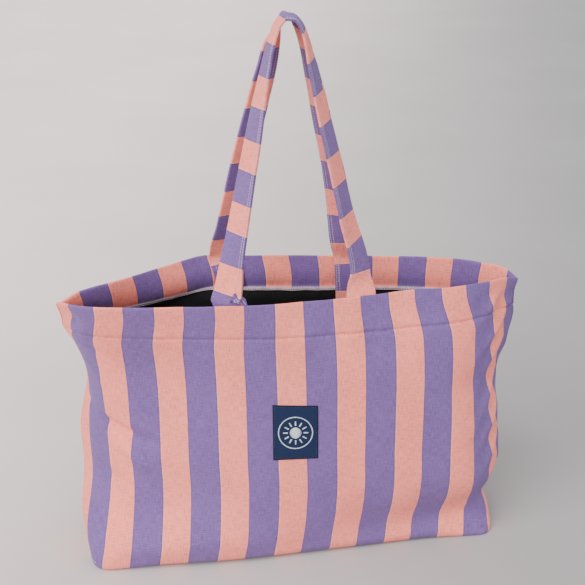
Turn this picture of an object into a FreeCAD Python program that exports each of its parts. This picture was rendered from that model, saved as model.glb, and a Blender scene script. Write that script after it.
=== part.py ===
import FreeCAD, Part
import math
import os

# A striped canvas beach bag, standing on its flat base with both carrying handles up.
# Millimetres. +Z is up, the front with the sewn label looks along -Y, +X is to the right
# of someone facing the front. The origin is under the middle of the bag, at the base.

Vector = FreeCAD.Vector

# --- cloth thicknesses and the gaps between layers ---
CANVAS = 1.2
LINING = 0.8
LAYER_GAP = 0.15
THREAD = 0.4
THREAD_GAP = 0.05
STITCH_WIDTH = 0.8
SERGING_GAP = 0.1
SERGING_HEIGHT = 3.3
SEAM_STAND_OFF = 0.6
SEAM_RIDGE_WIDTH = 1.0
STRAP_THICKNESS = 3.0

# --- heights ---
RIM = 350.0
HEM_DEPTH = 40.0
HEM_EDGE = RIM - HEM_DEPTH
LIFT = 0.2
CORNER_SEAM = (9.0, 9.8)
SIDE_SEAM_LOW = 12.0

# --- the carrying straps ---
STRAP_WIDTH = 35.0
STRAP_RISE = 12.0
HANDLE_TOP = 663.0
HANDLE_TOP_X = -9.0
ARCH_RADIUS = 9.0
TWIST_AT_TOP = 84.0
CLIMB_STEPS = 9
ARCH_STEPS = 6
LOOP_GAP = 0.6
OPEN_EDGE_ROWS = (2.0, 5.5)
CLIMB_BEND = 1.15
TWIST_BEND = 0.6
TAIL_GAP = 0.05
TAIL_STITCH_MARGIN = 3.0
TAIL_SERGING_HEIGHT = 2.5

# --- the sewn label on the front ---
LABEL_LEFT = -30.5
LABEL_WIDTH = 52.0
LABEL_LOW = 148.0
LABEL_HEIGHT = 68.0
LABEL_THICKNESS = 0.6
LABEL_GAP = 0.1
PRINT_THICKNESS = 0.25
LABEL_MARGIN = 1.5
SUN_RADIUS = 7.0
RAY_COUNT = 12
RAY_START = 10.0
RAY_LENGTH = 5.0
RAY_WIDTH = 1.6
RING_RADIUS = 19.5
RING_WIDTH = 1.0

# --- the bag's outline, seen from above ---
# Each point is where one upright line of the wall meets the base and the rim. The list
# starts at the left side seam, runs along the front to the right side seam, and comes
# back along the rear. The base is a rectangle with rounded corners, and the rim is an
# eye shape: wide open at the left, narrow at the right.
BASE_HALF_DEPTH = 60.0
BASE_MIDDLE_Y = 3.5
OUTLINE = [
    # base x, base y, rim x, rim y
    (-243, 0, -267, -18),
    (-243, -30, -254, -33),
    (-243, -41, -247, -42),
    (-238, -54, -239, -52),
    (-226, -60, -230, -59),
    (-198, -60, -198, -63),
    (-130, -60, -130, -70),
    (-63, -60, -63, -71),
    (5, -60, 5, -68),
    (70, -60, 70, -53),
    (135, -60, 135, -39),
    (199, -60, 199, -26),
    (226, -60, 229, -20),
    (238, -54, 241, -18),
    (243, -41, 249, -17),
    (243, -30, 256, -16),
    (243, 0, 267, -12),
    (243, 30, 255, -4),
    (243, 41, 248, 0),
    (238, 54, 240, 4),
    (226, 60, 228, 10),
    (199, 60, 199, 22),
    (135, 60, 135, 40),
    (70, 60, 70, 49),
    (5, 60, 5, 56),
    (-63, 60, -63, 66),
    (-96, 60, -96, 71),
    (-130, 60, -130, 59),
    (-198, 60, -198, 24),
    (-226, 60, -226, 7),
    (-238, 54, -238, 0),
    (-243, 41, -246, -5),
    (-243, 30, -254, -9),
]
LEFT_SEAM = 0
RIGHT_SEAM = 16
FRONT_FACE = (4, 12)
BACK_FACE = (20, 29)
CORNER_REACH = 2

# How far the helper solids used for cutting reach past the cloth.
CUTTER_REACH = 40.0
CUTTER_START = 120.0

# How the wall changes with height. "inset" rounds the bottom edge, "wide" and "deep" are
# the shares of the rim's shape in X and in Y, "bulge" swells both faces outwards, and
# "tuck" draws the side seams in where the sides fold inwards below the hem.
LEVELS = [
    {"z": 0.0, "inset": 8.0, "wide": 0.0, "deep": 0.0, "bulge": 0.0, "tuck": 0.0},
    {"z": 8.0, "inset": 1.5, "wide": 0.0, "deep": 0.02, "bulge": 1.0, "tuck": 0.0},
    {"z": 20.0, "inset": 0.0, "wide": 0.0, "deep": 0.05, "bulge": 3.0, "tuck": 0.0},
    {"z": 160.0, "inset": 0.0, "wide": 0.0, "deep": 0.35, "bulge": 8.0, "tuck": 6.0},
    {"z": 250.0, "inset": 0.0, "wide": 0.0, "deep": 0.60, "bulge": 5.0, "tuck": 6.0},
    {"z": HEM_EDGE, "inset": 0.0, "wide": 0.7, "deep": 0.85, "bulge": 2.0, "tuck": 0.0},
    {"z": RIM, "inset": 0.0, "wide": 1.0, "deep": 1.0, "bulge": 0.0, "tuck": 0.0},
]
BASE_HALF_WIDTH = 243.0
BASE_SEAM_INSET = 12.0

# --- where the straps leave the rim, as the middle of each strap in X ---
STRAPS = {
    "front": {"face": FRONT_FACE, "outward": -1, "x": (-80.0, 74.0), "top_y": -22.5, "tail": (45, 45)},
    "back": {"face": BACK_FACE, "outward": 1, "x": (-79.0, 70.0), "top_y": 14.5, "tail": (42, 52)},
}


def mix(a, b, share):
    return a + (b - a) * share


def grown(points, amount):
    """The closed outline moved inwards by amount, with mitred corners."""
    moved = []
    count = len(points)
    for i in range(count):
        before, here, after = points[i - 1], points[i], points[(i + 1) % count]
        first = Vector(here.x - before.x, here.y - before.y, 0).normalize()
        second = Vector(after.x - here.x, after.y - here.y, 0).normalize()
        inward_first = Vector(-first.y, first.x, 0)
        inward_second = Vector(-second.y, second.x, 0)
        mitre = (inward_first + inward_second).normalize()
        moved.append(here + mitre * (amount / mitre.dot(inward_first)))
    return moved


def level_outline(level):
    """The wall's outer surface at one of the levels."""
    points = []
    for base_x, base_y, rim_x, rim_y in OUTLINE:
        x = mix(base_x, rim_x, level["wide"])
        y = mix(BASE_MIDDLE_Y + base_y, rim_y, level["deep"])
        across = min(1.0, abs(base_x) / BASE_HALF_WIDTH)
        toward_seam = 1.0 - min(1.0, abs(base_y) / BASE_HALF_DEPTH)
        y += math.copysign(level["bulge"] * (1.0 - across ** 2), base_y) if base_y else 0.0
        x -= math.copysign(level["tuck"] * toward_seam, base_x)
        points.append(Vector(x, y, level["z"]))
    return grown(points, level["inset"])


LEVEL_OUTLINES = [level_outline(level) for level in LEVELS]


def section(z, depth):
    """The closed outline at height z, depth inwards of the outer surface."""
    if z >= RIM:
        return [Vector(p.x, p.y, z) for p in grown(LEVEL_OUTLINES[-1], depth)]
    k = max(i for i, level in enumerate(LEVELS) if level["z"] <= z)
    share = (z - LEVELS[k]["z"]) / (LEVELS[k + 1]["z"] - LEVELS[k]["z"])
    low = grown(LEVEL_OUTLINES[k], depth)
    high = grown(LEVEL_OUTLINES[k + 1], depth)
    return [mix(a, b, share) for a, b in zip(low, high)]


def heights(low, high):
    """low, high and every level between them."""
    return [low] + [level["z"] for level in LEVELS if low < level["z"] < high] + [high]


def closed_wire(points):
    return Part.makePolygon(points + points[:1])


def loft(wires):
    return Part.makeLoft(wires, True, True)


def layer(first, last, low, high, outer, inner):
    """A layer of cloth that follows the wall from outline point first to point last."""
    count = len(OUTLINE)
    wires = []
    for z in heights(low, high):
        outside = section(z, outer)
        inside = section(z, inner)
        order = [i % count for i in range(first, last + 1)]
        wires.append(closed_wire([outside[i] for i in order] + [inside[i] for i in reversed(order)]))
    return loft(wires)


def clipped(points, left, right):
    """The part of an open outline between two X values, from left to right."""
    points = sorted(points, key=lambda p: p.x)
    ends = []
    for x in (left, right):
        k = max(i for i, p in enumerate(points[:-1]) if p.x <= x)
        a, b = points[k], points[k + 1]
        ends.append(mix(a, b, (x - a.x) / (b.x - a.x)))
    middle = [p for p in points if left < p.x < right]
    return [ends[0]] + middle + [ends[1]]


def strip(face, left, right, low, high, outer, inner):
    """A layer on one face only, between two X values."""
    first, last = face
    wires = []
    for z in heights(low, high):
        outside = clipped(section(z, outer)[first:last + 1], left, right)
        inside = clipped(section(z, inner)[first:last + 1], left, right)
        wires.append(closed_wire(outside + inside[::-1]))
    return loft(wires)


def floor_half(first, last, low, high, depth):
    """Half of the flat bottom: it closes the wall between two side seams."""
    order = [i % len(OUTLINE) for i in range(first, last + 1)]
    return loft([closed_wire([section(z, depth)[i] for i in order]) for z in (low, high)])


def window(face, left, right, low, high):
    """An upright block through one face, for cutting a hole in a strip."""
    y = [p.y for p in section(low, 0.0)[face[0]:face[1] + 1]]
    return Part.makeBox(
        right - left, max(y) - min(y) + 2 * CUTTER_REACH, high - low, Vector(left, min(y) - CUTTER_REACH, low)
    )


def shell_half(first, last, floor_z, top_z, outer, thickness):
    """One half of a sewn shell: its wall and its half of the bottom, up to the bottom seam."""
    wall = layer(first, last, floor_z, top_z, outer, outer + thickness)
    floor = floor_half(first, last, floor_z, floor_z + thickness, outer + thickness / 2)
    seam_gap = Part.makeBox(
        2 * BASE_HALF_WIDTH, 2 * THREAD, 4 * thickness, Vector(-BASE_HALF_WIDTH, BASE_MIDDLE_Y - THREAD, -thickness)
    )
    return wall.fuse(floor.cut(seam_gap))


def seam_ridge(seam, low, high):
    """The closed ridge of a side seam, standing just outside the wall's corner."""
    wires = []
    for z in heights(low, high):
        near = section(z, -SEAM_STAND_OFF)[seam]
        far = section(z, -SEAM_STAND_OFF - THREAD)[seam]
        across = Vector(-(far - near).y, (far - near).x, 0).normalize() * (SEAM_RIDGE_WIDTH / 2)
        wires.append(closed_wire([near - across, far - across, far + across, near + across]))
    return loft(wires)


def face_point(strap, x):
    """The middle of a strap's thickness on the inside of the hem, at one X."""
    first, last = strap["face"]
    depth = tail_depth() + STRAP_THICKNESS / 2
    return clipped(section(RIM, depth)[first:last + 1], x, x + 1.0)[0]


def tail_depth():
    """How far inside the outer surface a strap's end lies: behind the canvas and the hem."""
    return 2 * (CANVAS + LAYER_GAP) + TAIL_GAP


def climb(strap, side):
    """Frames up one strap, from above the rim to the arch: middle, inner edge, outer face."""
    x = strap["x"][(side + 1) // 2]
    start = face_point(strap, x)
    start_z = RIM + STRAP_RISE + LOOP_GAP
    top_x = HANDLE_TOP_X + side * ARCH_RADIUS
    top_z = HANDLE_TOP - STRAP_THICKNESS / 2 - ARCH_RADIUS
    frames = []
    for i in range(CLIMB_STEPS):
        share = i / CLIMB_STEPS
        middle = Vector(
            mix(start.x, top_x, share ** CLIMB_BEND), mix(start.y, strap["top_y"], share), mix(start_z, top_z, share)
        )
        twist = math.radians(TWIST_AT_TOP * share ** TWIST_BEND)
        inner_edge = Vector(-side * math.cos(twist), strap["outward"] * math.sin(twist), 0)
        outer_face = Vector(side * math.sin(twist), strap["outward"] * math.cos(twist), 0)
        frames.append((middle, inner_edge, outer_face))
    return frames


def arch(strap):
    """Frames over the top of the handle, from the left strap to the right one."""
    centre_z = HANDLE_TOP - STRAP_THICKNESS / 2 - ARCH_RADIUS
    frames = []
    for i in range(ARCH_STEPS + 1):
        angle = math.pi * (1 - i / ARCH_STEPS)
        outer_face = Vector(math.cos(angle), 0, math.sin(angle))
        middle = Vector(HANDLE_TOP_X, strap["top_y"], centre_z) + outer_face * ARCH_RADIUS
        frames.append((middle, Vector(0, strap["outward"], 0), outer_face))
    return frames


def band(frames, near, far, low, high):
    """A band along the handle: near and far are across it, low and high through it."""
    wires = []
    for middle, inner_edge, outer_face in frames:
        corners = [(near, low), (far, low), (far, high), (near, high)]
        wires.append(closed_wire([middle + inner_edge * w + outer_face * h for w, h in corners]))
    return loft(wires)


def handle_loop(strap):
    return climb(strap, -1) + arch(strap) + climb(strap, 1)[::-1]


def handle(strap):
    half_width = STRAP_WIDTH / 2
    half_thickness = STRAP_THICKNESS / 2
    return band(handle_loop(strap), -half_width, half_width, -half_thickness, half_thickness)


def handle_stitching(strap):
    """The two rows of topstitching along the open edge, on the handle's outer face."""
    face = STRAP_THICKNESS / 2 + THREAD_GAP
    rows = []
    for from_edge in OPEN_EDGE_ROWS:
        near = STRAP_WIDTH / 2 - from_edge - STITCH_WIDTH / 2
        rows.append(band(handle_loop(strap), near, near + STITCH_WIDTH, face, face + THREAD))
    return Part.makeCompound(rows)


def tail_span(strap, side):
    x = strap["x"][(side + 1) // 2]
    return x - STRAP_WIDTH / 2, x + STRAP_WIDTH / 2


def strap_end(strap, side):
    """The end of a strap, flat on the inside of the hem and standing a little above the rim."""
    left, right = tail_span(strap, side)
    low = RIM - strap["tail"][(side + 1) // 2]
    return strip(strap["face"], left, right, low, RIM + STRAP_RISE, tail_depth(), tail_depth() + STRAP_THICKNESS)


def strap_end_serging(strap):
    """The overlocked raw edge under each strap end."""
    pieces = []
    for side in (-1, 1):
        left, right = tail_span(strap, side)
        high = RIM - strap["tail"][(side + 1) // 2] - SERGING_GAP
        inner = tail_depth() + STRAP_THICKNESS
        pieces.append(strip(strap["face"], left, right, high - TAIL_SERGING_HEIGHT, high, tail_depth(), inner))
    return Part.makeCompound(pieces)


def strap_end_stitching(strap):
    """The rectangle of stitches that holds each strap end to the hem."""
    low = HEM_EDGE + TAIL_STITCH_MARGIN
    high = RIM - TAIL_STITCH_MARGIN
    inner = tail_depth() + STRAP_THICKNESS + THREAD_GAP
    pieces = []
    for side in (-1, 1):
        left, right = tail_span(strap, side)
        left += TAIL_STITCH_MARGIN
        right -= TAIL_STITCH_MARGIN
        whole = strip(strap["face"], left, right, low, high, inner, inner + THREAD)
        hole = window(
            strap["face"], left + STITCH_WIDTH, right - STITCH_WIDTH, low + STITCH_WIDTH, high - STITCH_WIDTH
        )
        pieces.append(whole.cut(hole))
    return Part.makeCompound(pieces)


def label():
    high = LABEL_LOW + LABEL_HEIGHT
    right = LABEL_LEFT + LABEL_WIDTH
    return strip(FRONT_FACE, LABEL_LEFT, right, LABEL_LOW, high, -LABEL_GAP - LABEL_THICKNESS, -LABEL_GAP)


def label_print_layer(margin):
    """A thin film on the label, margin in from its edges."""
    under = -LABEL_GAP - LABEL_THICKNESS - THREAD_GAP
    right = LABEL_LEFT + LABEL_WIDTH - margin
    high = LABEL_LOW + LABEL_HEIGHT - margin
    return strip(FRONT_FACE, LABEL_LEFT + margin, right, LABEL_LOW + margin, high, under - PRINT_THICKNESS, under)


def label_stitching():
    edge = LABEL_MARGIN + STITCH_WIDTH
    right = LABEL_LEFT + LABEL_WIDTH - edge
    hole = window(FRONT_FACE, LABEL_LEFT + edge, right, LABEL_LOW + edge, LABEL_LOW + LABEL_HEIGHT - edge)
    return label_print_layer(LABEL_MARGIN).cut(hole)


def label_emblem():
    """A plain sun: a disc, its rays and a ring around them."""
    middle = Vector(LABEL_LEFT + LABEL_WIDTH / 2, -CUTTER_START, LABEL_LOW + LABEL_HEIGHT / 2)
    reach = CUTTER_START
    away = Vector(0, 1, 0)
    shapes = [Part.makeCylinder(SUN_RADIUS, reach, middle, away)]
    for i in range(RAY_COUNT):
        ray = Part.makeBox(RAY_WIDTH, reach, RAY_LENGTH, Vector(-RAY_WIDTH / 2, 0, RAY_START))
        ray.rotate(Vector(0, 0, 0), away, 360.0 * i / RAY_COUNT)
        ray.translate(middle)
        shapes.append(ray)
    ring = Part.makeCylinder(RING_RADIUS + RING_WIDTH, reach, middle, away)
    shapes.append(ring.cut(Part.makeCylinder(RING_RADIUS, reach, middle, away)))
    film = label_print_layer(LABEL_MARGIN + 2 * STITCH_WIDTH)
    return Part.makeCompound([film.common(shape) for shape in shapes])


def base_seam():
    """The thread of the bottom seam, in the gap between the two halves of the base."""
    length = 2 * (BASE_HALF_WIDTH - BASE_SEAM_INSET)
    width = 2 * THREAD - LIFT
    corner = Vector(-length / 2, BASE_MIDDLE_Y - width / 2, LIFT / 2)
    return Part.makeBox(length, width, CANVAS - LIFT, corner)


def half_nodes(side, first, last):
    """The cloth layers and hem threads of the front half or the back half of the bag."""
    second = CANVAS + LAYER_GAP
    third = second + LINING + SERGING_GAP
    return {
        side + "_panel": shell_half(first, last, 0.0, RIM, 0.0, CANVAS),
        side + "_lining": shell_half(first, last, second, HEM_EDGE - LIFT, second, LINING),
        side + "_hem": layer(first, last, HEM_EDGE, RIM, second, second + CANVAS),
        side + "_hem_stitching": layer(
            first, last, HEM_EDGE - STITCH_WIDTH / 2, HEM_EDGE + STITCH_WIDTH / 2, -THREAD_GAP - THREAD, -THREAD_GAP
        ),
        side + "_hem_serging": layer(
            first, last, HEM_EDGE - LIFT - SERGING_HEIGHT, HEM_EDGE - LIFT, third, third + THREAD
        ),
    }


def handle_nodes(side):
    strap = STRAPS[side]
    return {
        side + "_handle": handle(strap),
        side + "_handle_stitching": handle_stitching(strap),
        side + "_left_strap_end": strap_end(strap, -1),
        side + "_right_strap_end": strap_end(strap, 1),
        side + "_strap_end_stitching": strap_end_stitching(strap),
        side + "_strap_end_serging": strap_end_serging(strap),
    }


def seam_nodes():
    nodes = {"base_seam": base_seam()}
    for side, seam in (("left", LEFT_SEAM), ("right", RIGHT_SEAM)):
        start = seam - CORNER_REACH + len(OUTLINE)
        nodes[side + "_side_seam"] = seam_ridge(seam, SIDE_SEAM_LOW, RIM - LIFT)
        nodes[side + "_corner_seam"] = layer(
            start, start + 2 * CORNER_REACH, *CORNER_SEAM, -THREAD_GAP - THREAD, -THREAD_GAP
        )
    return nodes


def build():
    nodes = {}
    nodes.update(half_nodes("front", LEFT_SEAM, RIGHT_SEAM))
    nodes.update(half_nodes("back", RIGHT_SEAM, len(OUTLINE)))
    nodes.update(handle_nodes("front"))
    nodes.update(handle_nodes("back"))
    nodes.update(seam_nodes())
    nodes["label_patch"] = label()
    nodes["label_emblem"] = label_emblem()
    nodes["label_stitching"] = label_stitching()
    return nodes


os.makedirs("parts", exist_ok=True)
whole_bag = FreeCAD.BoundBox()
for node, shape in build().items():
    shape.exportStep("parts/" + node + ".step")
    whole_bag.add(shape.BoundBox)
    print(node, "valid" if shape.isValid() else "INVALID", len(shape.Solids), "solids", round(shape.Volume), "mm3")
print("whole bag", whole_bag)
for side, strap in STRAPS.items():
    print(side, "strap exits", [face_point(strap, x) for x in strap["x"]])
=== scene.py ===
import math

import bpy
import numpy as np
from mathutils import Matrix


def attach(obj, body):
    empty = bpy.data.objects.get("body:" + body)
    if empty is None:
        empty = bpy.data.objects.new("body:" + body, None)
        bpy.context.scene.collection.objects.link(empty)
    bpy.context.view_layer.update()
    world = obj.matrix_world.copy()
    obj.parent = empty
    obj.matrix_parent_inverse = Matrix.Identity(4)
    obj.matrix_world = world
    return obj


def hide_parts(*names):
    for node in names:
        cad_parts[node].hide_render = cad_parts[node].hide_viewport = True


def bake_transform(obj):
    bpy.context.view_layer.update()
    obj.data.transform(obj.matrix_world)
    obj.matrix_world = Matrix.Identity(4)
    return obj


# A striped canvas beach bag with two carrying handles and a sewn label. Lengths in this
# script are millimetres until a mesh is made. "c" is the distance along the cloth, from
# the stripe edge nearest the middle, and "h" is the height up the cloth from the floor.

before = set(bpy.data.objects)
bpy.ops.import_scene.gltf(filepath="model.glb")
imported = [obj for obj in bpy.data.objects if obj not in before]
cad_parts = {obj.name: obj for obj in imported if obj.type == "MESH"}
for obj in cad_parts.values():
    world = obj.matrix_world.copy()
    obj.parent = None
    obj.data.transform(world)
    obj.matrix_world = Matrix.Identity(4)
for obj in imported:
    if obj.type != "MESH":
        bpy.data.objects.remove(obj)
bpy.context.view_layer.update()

MM = 0.001
RIM = 350.0
HEM = 44.0
BASE_MIDDLE_Y = 3.5
STRIPE = 35.0
FOLD = 1.3
HEM_INSIDE = 2 * FOLD
LINING_INSIDE = 2.0
STRAP_WIDTH = 35.0
STRAP_THICKNESS = 3.2
STRAP_GAP = 0.3
BUNCHED = 11.0
EDGE_ROUNDING = 17.0
LINING_STOP = 4.0
STITCH_PITCH = 3.1
STITCH_GAP = 0.6
THREAD_WIDTH = 0.7
SERGING_PITCH = 2.1
STRAP_SERGING_PITCH = 2.0
CORNER_SEAM_LENGTH = 52.0
FLOOR_SEAM_REACH = 228

# --- how each wall bends: it starts at the left seam with a heading in degrees from +X, and each
# --- bend then turns it, given at a few heights as (height, middle, half width, turn) ---
FRONT_ENDS = (-306.0, 304.0)
FRONT_SEAM_HEADING = [(0, -90), (60, -80), (150, -70), (230, -90), (350, -65)]
FRONT_BENDS = [
    [(0, -250, 18, 88), (30, -255, 40, 80), (60, -260, 60, 68), (150, -250, 80, 55), (230, -255, 50, 75),
     (350, -265, 50, 60)],
    [(0, -100, 90, 6), (60, -80, 110, 18), (350, -20, 120, 17)],
    [(0, 247, 18, 86), (30, 244, 30, 86), (60, 218, 40, 60), (150, 228, 85, 75), (230, 195, 80, 55),
     (300, 215, 90, 45), (350, 255, 80, 36)],
]
# --- where the cloth at c = 0 stands, by height: x and y ---
FRONT_START_X = [(0, 3.5), (36, 8), (60, 10), (104, 11), (146, 9.8), (190, 9.5), (226, 9),
                 (290, 7), (350, 4.5)]
FRONT_START_Y = [(0, -54), (17, -57), (36, -60), (60, -62.5), (104, -66.5), (146, -68),
                 (226, -69), (350, -70)]
# --- how far the rim rises (minus: sinks) along the cloth, and the share it is gathered by ---
FRONT_RIM = [(-306, -9), (-270, -2), (-230, 0), (140, 0), (175, -3), (230, -5), (280, -10), (304, -17)]

BACK_ENDS = (-310.0, 292.0)
BACK_SEAM_HEADING = [(0, 90), (250, 75), (285, 45), (300, 25), (350, 28)]
BACK_BENDS = [
    [(0, -245, 15, -90), (60, -262, 35, -88), (250, -275, 35, -75), (285, -235, 40, -46), (300, -160, 40, -30),
     (315, -105, 20, -28), (350, -105, 20, -36)],
    [(0, 242, 15, -90), (25, 258, 25, -90), (60, 262, 30, -90), (250, 255, 35, -95), (300, 170, 60, -10),
     (350, 190, 60, -12)],
]
BACK_RIM = [(-306, -9), (-275, 0), (-170, 2), (-105, 5), (-60, 4), (120, 3), (200, 2), (240, 0),
            (280, -6), (296, -17)]
GATHERED = [(-306, 0.034), (0, 0.042), (120, 0.055), (304, 0.07)]

# --- soft creases in the front: from (c, h) to (c, h), half width, depth (minus is a ridge) ---
CREASES = [
    (-292, 346, -268, 322, 6.0, 2.4),
    (-150, 327, -128, 316, 3.5, 0.8),
    (96, 336, 120, 318, 4.0, 0.9),
    (-272, 305, -236, 278, 5.0, 2.6),
    (-262, 262, -246, 236, 5.0, -1.8),
    (-246, 184, -190, 164, 7.0, 7.0),
    (-232, 160, -194, 132, 7.0, -3.6),
    (-262, 120, -226, 104, 7.0, 2.0),
    (-292, 206, -262, 190, 5.0, 2.2),
    (-240, 30, -206, 14, 5.0, 1.4),
    (206, 40, 244, 16, 5.0, 1.6),
    (176, 118, 196, 40, 9.0, 1.2),
    (150, 330, 176, 296, 6.0, 0.9),
]

# --- the handles: the middle of the strap (x, y, z), and how far it has turned (degrees) ---
FRONT_CLIMB_LEFT = [(-83, -66.5, 353, 25), (-80, -64, 364, 33), (-75, -60, 395, 48), (-61, -50, 465, 61),
                    (-47, -40, 536, 69), (-33, -30, 603, 81), (-24, -25.5, 640, 87)]
FRONT_ARCH = [(-18, -23.5, 653.5, 89), (-10, -22.5, 660.5, 91), (-1, -22.5, 659.5, 93), (6.5, -23.5, 651, 97),
              (11.5, -24.5, 638, 101)]
FRONT_CLIMB_RIGHT = [(17, -26, 613, 107), (25, -29, 577, 112), (40.5, -35, 511, 119), (56, -41, 441, 123),
                     (72, -47, 372, 137)]
BACK_CLIMB_LEFT = [(-75, 69, 366, 14), (-69.5, 60, 397, 28), (-56.5, 45, 465, 33), (-38, 33, 545, 37),
                   (-25, 24, 600, 45), (-18, 20, 634, 62)]
BACK_ARCH = [(-13.5, 17, 648, 84), (-7, 15.5, 655, 90), (0, 15, 653, 94), (7.5, 16, 641, 98)]
BACK_CLIMB_RIGHT = [(27.5, 24, 577, 114), (38, 29, 530, 121), (52, 35, 470, 130), (63, 42, 405, 145),
                    (68, 46, 375, 160)]

# --- the strap ends: where their middles are along the cloth, and how deep they reach ---
FRONT_STRAP_C = (-84.0, 72.0)
FRONT_TAILS = (45, 45)
BACK_STRAP_C = (-82.0, 75.0)
BACK_TAILS = (43, 56)

# --- the straps' stripes: an edge this far above the rim, and how far the back's are moved on ---
STRIPE_MARK = 45
BACK_STRIPE_SHIFT = 15.4

# --- the label ---
LABEL_LEFT = -40.5
LABEL_RIGHT = 12.5
LABEL_LOW = 148.0
LABEL_HIGH = 217.5
LABEL_LEAN = 3.0
LABEL_SEAM_INSET = 1.9
SUN_RADIUS = 7.0
RAYS = 12
RING_RADIUS = 20.0


# ------------------------------------------------------------------ smooth numbers

def smoothly(points, at):
    """A smooth curve through (position, value) pairs that never overshoots them."""
    x = np.array([p[0] for p in points], float)
    v = np.array([p[1:] for p in points], float)
    slope = np.zeros_like(v)
    step = (v[1:] - v[:-1]) / (x[1:] - x[:-1])[:, None]
    wide = (x[1:] - x[:-1])[:, None]
    slope[1:-1] = (step[:-1] * wide[1:] + step[1:] * wide[:-1]) / (wide[1:] + wide[:-1])
    limit = 2.2 * np.minimum(np.abs(step[:-1]), np.abs(step[1:])) * (step[:-1] * step[1:] > 0)
    slope[1:-1] = np.clip(slope[1:-1], -limit, limit)
    slope[0], slope[-1] = step[0], step[-1]
    at = np.clip(np.atleast_1d(np.asarray(at, float)), x[0], x[-1])
    k = np.clip(np.searchsorted(x, at, side="right") - 1, 0, len(x) - 2)
    w = wide[k]
    t = ((at - x[k]) / w[:, 0])[:, None]
    found = (
        v[k] * (1 + 2 * t) * (1 - t) ** 2 + slope[k] * w * t * (1 - t) ** 2
        + v[k + 1] * t * t * (3 - 2 * t) + slope[k + 1] * w * t * t * (t - 1)
    )
    return found[:, 0] if v.shape[1] == 1 else found


def ease(x, low, high):
    t = np.clip((x - low) / (high - low), 0, 1)
    return t * t * (3 - 2 * t)


def bump(x, middle, width):
    return np.exp(-(((x - middle) / width) ** 2))


def noise(x, y, seed):
    """Smooth random hills between -1 and 1, one hill to each unit square."""
    x, y = np.broadcast_arrays(np.asarray(x, float), np.asarray(y, float))
    lattice = np.random.RandomState(seed).uniform(-1, 1, (64, 64))
    i, j = np.floor(x).astype(int), np.floor(y).astype(int)
    u, v = x - i, y - j
    u, v = u * u * (3 - 2 * u), v * v * (3 - 2 * v)
    a, b = lattice[i % 64, j % 64], lattice[(i + 1) % 64, j % 64]
    c, d = lattice[i % 64, (j + 1) % 64], lattice[(i + 1) % 64, (j + 1) % 64]
    return (a * (1 - u) + b * u) * (1 - v) + (c * (1 - u) + d * u) * v


# ------------------------------------------------------------------ the two walls of cloth

def crease(c, h, c0, h0, c1, h1, width, depth):
    along = np.array([c1 - c0, h1 - h0], float)
    length = np.hypot(*along)
    along /= length
    t = ((c - c0) * along[0] + (h - h0) * along[1]) / length
    off = -(c - c0) * along[1] + (h - h0) * along[0]
    fade = ease(t, -0.35, 0.15) * (1 - ease(t, 0.85, 1.35))
    return -depth * fade * bump(off, 0, width)


def hem_relief(c, h, seed):
    """The pinch of the hem's stitch line, the small puckers along it and the fuller hem."""
    from_line = h - (RIM - HEM)
    relief = -1.3 * bump(from_line, 0, 1.7) + 0.7 * ease(from_line, 0, 6)
    relief = relief + 0.55 * noise(c / 6.5, 3.0, seed) * bump(from_line, 0, 7)
    relief = relief + 1.1 * noise(c / 19.0, h / 60.0, seed + 1) * bump(from_line, -4, 22)
    return relief + 0.5 * noise(c / 24.0, h / 30.0, seed + 2) * ease(h, RIM - HEM, RIM)


def front_relief(c, h):
    relief = hem_relief(c, h, 11)
    for one in CREASES:
        relief = relief + crease(c, h, *one)
    slump = bump(c, 258, 34) * ease(h, 60, 110) * (1 - ease(h, 318, 345))
    wave = (h - 0.75 * (c - 258) + 5 * noise(c / 40, h / 40, 5)) / 41.0
    ridge = np.abs(((wave % 1.0) - 0.5) * 2) ** 1.3
    relief = relief + 5.5 * slump * (ridge - 0.45)
    relief = relief + 1.3 * noise(c / 85.0, h / 70.0, 21) + 0.5 * noise(c / 30.0, h / 34.0, 22)
    return relief * ease(h, 4, 24)


def back_relief(c, h):
    relief = hem_relief(c, h, 41)
    relief = relief + 1.8 * noise(c / 80.0, h / 75.0, 51) + 0.6 * noise(c / 30.0, h / 34.0, 52)
    return relief * ease(h, 4, 24)


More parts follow.
